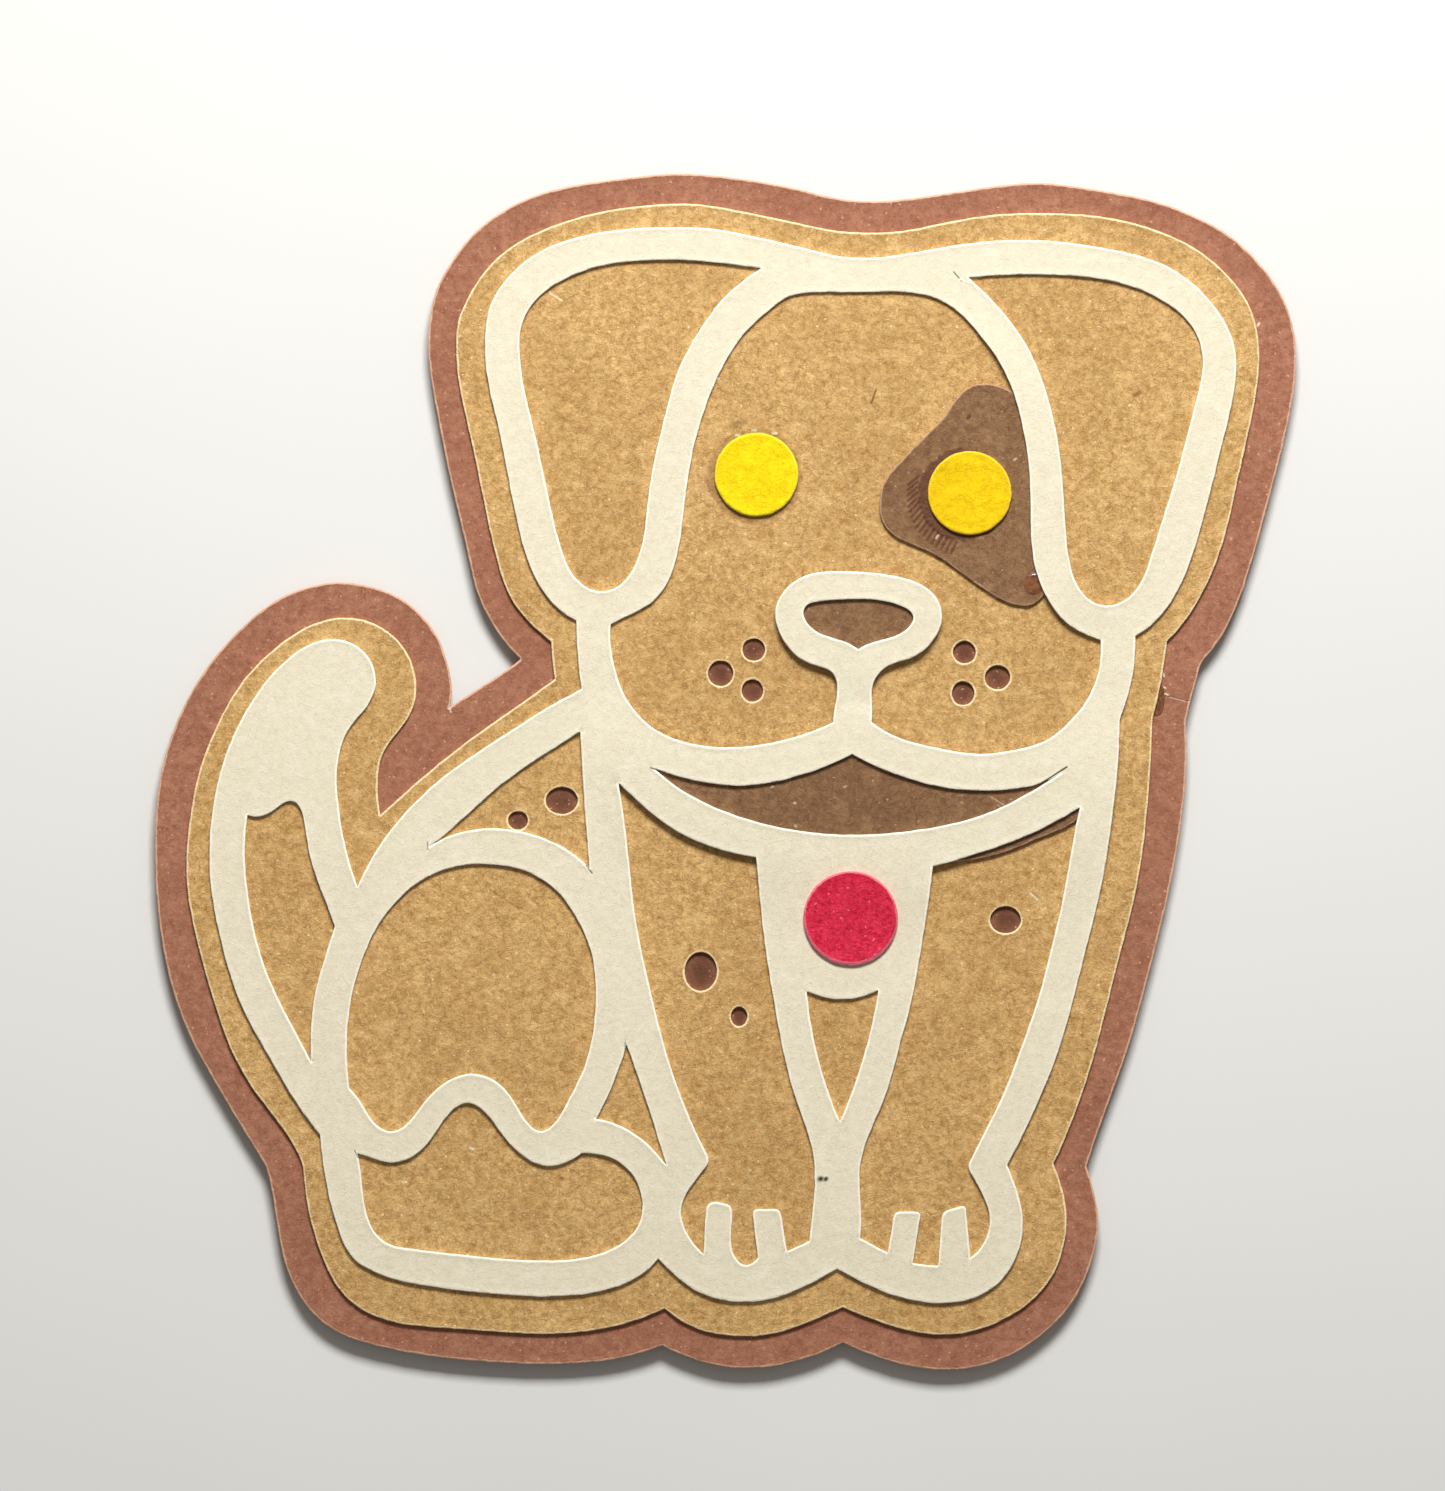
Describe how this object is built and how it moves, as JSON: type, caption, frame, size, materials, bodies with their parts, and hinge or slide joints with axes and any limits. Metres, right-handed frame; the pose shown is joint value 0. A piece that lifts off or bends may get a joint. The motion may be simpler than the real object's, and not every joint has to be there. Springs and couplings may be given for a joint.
{
  "type": "layered card puppy",
  "caption": "Flat layered-card sitting puppy, face on: backing, punched coat, brown fillers, cream line-work, punched eye and chest dots, foam pads behind.",
  "frame": {"origin": "on the resting face, the underside of the foam pads, in the middle of the backing card's box", "axes": "+X to the right of the puppy as it is looked at, +Y towards its ears, +Z out of its face; it lies on its back"},
  "size_m": [0.0862, 0.0904, 0.0027],
  "materials": {
    "backing_stock": "matte",
    "coat_stock": "matte",
    "filler_stock": "matte",
    "outline_stock": "matte",
    "yellow_stock": "matte",
    "red_stock": "matte",
    "pad_foam": "matte",
    "dried_glue": "gloss"
  },
  "bodies": {
    "root": {"backing_card": "backing_stock", "coat_card": "coat_stock", "outline_card": "outline_stock", "eye_patch_card": "filler_stock", "nose_card": "filler_stock", "mouth_card": "filler_stock", "left_eye_dot": "yellow_stock", "right_eye_dot": "yellow_stock", "chest_dot": "red_stock", "foam_pads": "pad_foam", "coat_glue": "dried_glue", "outline_glue": "dried_glue", "eye_patch_glue": "dried_glue", "nose_glue": "dried_glue", "mouth_glue": "dried_glue", "left_eye_glue": "dried_glue", "right_eye_glue": "dried_glue", "chest_dot_glue": "dried_glue"}
  },
  "joints": []
}
